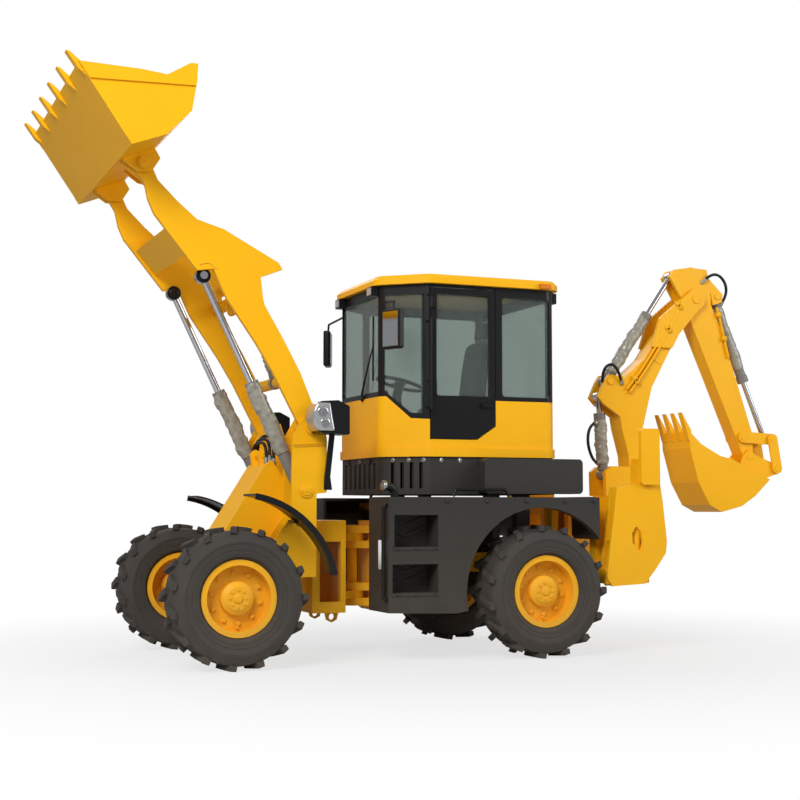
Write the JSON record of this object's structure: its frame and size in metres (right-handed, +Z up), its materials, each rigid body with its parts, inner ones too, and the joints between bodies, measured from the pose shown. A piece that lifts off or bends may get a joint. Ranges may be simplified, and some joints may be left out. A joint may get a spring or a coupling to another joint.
{
  "type": "articulated backhoe loader",
  "caption": "Articulated loader with a raised front bucket, a glazed cab and a folded rear digging arm with stabilizer legs, on large lugged tyres.",
  "frame": {"origin": "on the ground, under the middle of the machine's length and width", "axes": "+X forwards to the loader bucket, +Y to the machine's left, +Z up"},
  "size_m": [6.67, 2.228, 4.358],
  "materials": {
    "yellow_paint": "gloss",
    "rim_paint": "gloss",
    "tyre_rubber": "matt",
    "dark_grey_paint": "satin",
    "black_trim": "satin",
    "axle_casting": "painted dark",
    "cab_glazing": "clear, slightly green",
    "polished_rod": "polished",
    "grey_barrel": "satin",
    "seat_cover": "woven",
    "control_plastic": "matt",
    "lamp_body": "gloss"
  },
  "bodies": {
    "rear_body": {"rear_frame": "yellow_paint", "rear_axle": "axle_casting", "engine_block": "axle_casting", "left_side_body": "dark_grey_paint", "right_side_body": "dark_grey_paint", "cab_shell": "yellow_paint", "cab_frame": "black_trim", "cab_glass": "cab_glazing", "cab_roof": "yellow_paint", "cab_skirt": "dark_grey_paint", "seat": "seat_cover", "controls": "control_plastic", "mirrors": "black_trim", "cab_lamps": "lamp_body", "handrails": "black_trim", "hoe_mainframe": "yellow_paint"},
    "front_body": {"front_frame": "yellow_paint", "loader_towers": "yellow_paint", "front_axle": "axle_casting", "front_fenders": "black_trim", "headlamps": "lamp_body"},
    "loader_arm": {"loader_arm": "yellow_paint", "tilt_barrel": "grey_barrel"},
    "loader_bucket": {"loader_bucket": "yellow_paint"},
    "tilt_rocker": {"tilt_rocker": "yellow_paint"},
    "tilt_link": {"tilt_link": "yellow_paint"},
    "tilt_rod": {"tilt_rod": "polished_rod"},
    "lift_barrels": {"lift_barrels": "grey_barrel"},
    "lift_rods": {"lift_rods": "polished_rod"},
    "cab_door": {"cab_door": "black_trim", "cab_door_glass": "cab_glazing"},
    "swing_post": {"swing_post": "yellow_paint"},
    "hoe_boom": {"hoe_boom": "yellow_paint"},
    "hoe_dipper": {"hoe_dipper": "yellow_paint"},
    "hoe_bucket": {"hoe_bucket": "yellow_paint"},
    "hoe_guide_links": {"hoe_guide_links": "yellow_paint"},
    "hoe_push_links": {"hoe_push_links": "yellow_paint"},
    "boom_barrel": {"boom_barrel": "grey_barrel"},
    "boom_rod": {"boom_rod": "polished_rod"},
    "dipper_barrel": {"dipper_barrel": "grey_barrel"},
    "dipper_rod": {"dipper_rod": "polished_rod"},
    "hoe_bucket_barrel": {"hoe_bucket_barrel": "grey_barrel"},
    "hoe_bucket_rod": {"hoe_bucket_rod": "polished_rod"},
    "left_stabilizer": {"left_stabilizer": "yellow_paint"},
    "right_stabilizer": {"right_stabilizer": "yellow_paint"},
    "front_left_wheel": {"front_left_tyre": "tyre_rubber", "front_left_rim": "rim_paint"},
    "front_right_wheel": {"front_right_tyre": "tyre_rubber", "front_right_rim": "rim_paint"},
    "rear_left_wheel": {"rear_left_tyre": "tyre_rubber", "rear_left_rim": "rim_paint"},
    "rear_right_wheel": {"rear_right_tyre": "tyre_rubber", "rear_right_rim": "rim_paint"}
  },
  "joints": [
    {"name": "articulation", "type": "hinge", "parent": "rear_body", "child": "front_body", "pos_m": [0.815, 0, 0.7], "axis": [0, 0, 1], "range_deg": [-32, 32]},
    {"name": "front_left_wheel_spin", "type": "hinge", "parent": "front_body", "child": "front_left_wheel", "pos_m": [2.05, 0.89, 0.515], "axis": [0, 1, 0], "continuous": true},
    {"name": "front_right_wheel_spin", "type": "hinge", "parent": "front_body", "child": "front_right_wheel", "pos_m": [2.05, -0.89, 0.515], "axis": [0, 1, 0], "continuous": true},
    {"name": "rear_left_wheel_spin", "type": "hinge", "parent": "rear_body", "child": "rear_left_wheel", "pos_m": [-0.42, 0.89, 0.515], "axis": [0, 1, 0], "continuous": true},
    {"name": "rear_right_wheel_spin", "type": "hinge", "parent": "rear_body", "child": "rear_right_wheel", "pos_m": [-0.42, -0.89, 0.515], "axis": [0, 1, 0], "continuous": true},
    {"name": "loader_lift", "type": "hinge", "parent": "front_body", "child": "loader_arm", "pos_m": [1.375, 0, 1.78], "axis": [0, -1, 0], "range_deg": [-98.5, 0]},
    {"name": "lift_barrel_swing", "type": "hinge", "parent": "front_body", "child": "lift_barrels", "pos_m": [1.415, 0, 1.29], "axis": [0, -1, 0], "range_deg": [-87.5, 0.5]},
    {"name": "lift_rod_slide", "type": "slide", "parent": "lift_barrels", "child": "lift_rods", "axis": [0.4372, 0, 0.8994], "range_m": [-0.7015, 0.001]},
    {"name": "loader_tilt", "type": "hinge", "parent": "loader_arm", "child": "loader_bucket", "pos_m": [2.695, 0, 3.715], "axis": [0, 1, 0], "range_deg": [-45, 95]},
    {"name": "tilt_rocker_swing", "type": "hinge", "parent": "loader_arm", "child": "tilt_rocker", "pos_m": [1.815, 0, 2.81], "axis": [0, 1, 0], "range_deg": [-45.5, 95.5]},
    {"name": "tilt_link_swing", "type": "hinge", "parent": "tilt_rocker", "child": "tilt_link", "pos_m": [1.67916, 0, 2.84387], "axis": [0, 1, 0], "range_deg": [-95.5, 45.5]},
    {"name": "tilt_rod_slide", "type": "slide", "parent": "loader_arm", "child": "tilt_rod", "axis": [0.2198, 0, 0.9755], "range_m": [-0.0966, 0.2028]},
    {"name": "cab_door_swing", "type": "hinge", "parent": "rear_body", "child": "cab_door", "pos_m": [0.428, 0.732, 2.3], "axis": [0, 0, -1], "range_deg": [0, 80]},
    {"name": "hoe_swing", "type": "hinge", "parent": "rear_body", "child": "swing_post", "pos_m": [-1.475, 0, 0.9], "axis": [0, 0, 1], "range_deg": [-60, 60]},
    {"name": "hoe_boom_lift", "type": "hinge", "parent": "swing_post", "child": "hoe_boom", "pos_m": [-1.785, 0, 1.43], "axis": [0, -1, 0], "range_deg": [0, 75]},
    {"name": "boom_barrel_swing", "type": "hinge", "parent": "swing_post", "child": "boom_barrel", "pos_m": [-1.525, 0, 1.455], "axis": [0, -1, 0], "range_deg": [-0.5, 68.2]},
    {"name": "boom_rod_slide", "type": "slide", "parent": "boom_barrel", "child": "boom_rod", "axis": [0.0583, 0, 0.9983], "range_m": [-0.001, 0.3065]},
    {"name": "hoe_dipper_swing", "type": "hinge", "parent": "hoe_boom", "child": "hoe_dipper", "pos_m": [-2.435, 0, 3.04], "axis": [0, 1, 0], "range_deg": [0, 75]},
    {"name": "dipper_barrel_swing", "type": "hinge", "parent": "hoe_boom", "child": "dipper_barrel", "pos_m": [-1.55, 0, 2.27], "axis": [0, -1, 0], "range_deg": [-0.5, 8.2]},
    {"name": "dipper_rod_slide", "type": "slide", "parent": "dipper_barrel", "child": "dipper_rod", "axis": [-0.5761, 0, 0.8174], "range_m": [-0.315, 0.001]},
    {"name": "hoe_bucket_curl", "type": "hinge", "parent": "hoe_dipper", "child": "hoe_bucket", "pos_m": [-2.985, 0, 1.63], "axis": [0, 1, 0], "range_deg": [0, 75]},
    {"name": "guide_link_swing", "type": "hinge", "parent": "hoe_dipper", "child": "hoe_guide_links", "pos_m": [-2.925, 0, 1.805], "axis": [0, 1, 0], "range_deg": [-0.5, 76.5]},
    {"name": "push_link_swing", "type": "hinge", "parent": "hoe_guide_links", "child": "hoe_push_links", "pos_m": [-3.225, 0, 1.79], "axis": [0, 1, 0], "range_deg": [-51.6, 0.5]},
    {"name": "hoe_bucket_barrel_swing", "type": "hinge", "parent": "hoe_dipper", "child": "hoe_bucket_barrel", "pos_m": [-2.685, 0, 3.08], "axis": [0, -1, 0], "range_deg": [-0.5, 2.5]},
    {"name": "hoe_bucket_rod_slide", "type": "slide", "parent": "hoe_bucket_barrel", "child": "hoe_bucket_rod", "axis": [-0.3861, 0, -0.9224], "range_m": [-0.367, 0.001]},
    {"name": "left_stabilizer_swing", "type": "hinge", "parent": "rear_body", "child": "left_stabilizer", "pos_m": [-1.185, 0.79, 0.62], "axis": [-1, 0, 0], "range_deg": [0, 108]},
    {"name": "right_stabilizer_swing", "type": "hinge", "parent": "rear_body", "child": "right_stabilizer", "pos_m": [-1.185, -0.79, 0.62], "axis": [1, 0, 0], "range_deg": [0, 108]}
  ],
  "couplings": [
    {"joint": "lift_barrel_swing", "follows": "loader_lift", "ratio": 0.8816},
    {"joint": "lift_rod_slide", "follows": "loader_lift", "m_per_rad": 0.40754},
    {"joint": "tilt_rocker_swing", "follows": "loader_tilt", "ratio": 1},
    {"joint": "tilt_link_swing", "follows": "loader_tilt", "ratio": -1},
    {"joint": "tilt_rod_slide", "follows": "loader_tilt", "m_per_rad": 0.1217},
    {"joint": "boom_barrel_swing", "follows": "hoe_boom_lift", "ratio": 0.9012},
    {"joint": "boom_rod_slide", "follows": "hoe_boom_lift", "m_per_rad": 0.23314},
    {"joint": "dipper_barrel_swing", "follows": "hoe_dipper_swing", "ratio": 0.0997},
    {"joint": "dipper_rod_slide", "follows": "hoe_dipper_swing", "m_per_rad": -0.23961},
    {"joint": "guide_link_swing", "follows": "hoe_bucket_curl", "ratio": 1.0107},
    {"joint": "push_link_swing", "follows": "hoe_bucket_curl", "ratio": -0.67992},
    {"joint": "hoe_bucket_barrel_swing", "follows": "hoe_bucket_curl", "ratio": 0.02491},
    {"joint": "hoe_bucket_rod_slide", "follows": "hoe_bucket_curl", "m_per_rad": -0.2794}
  ]
}
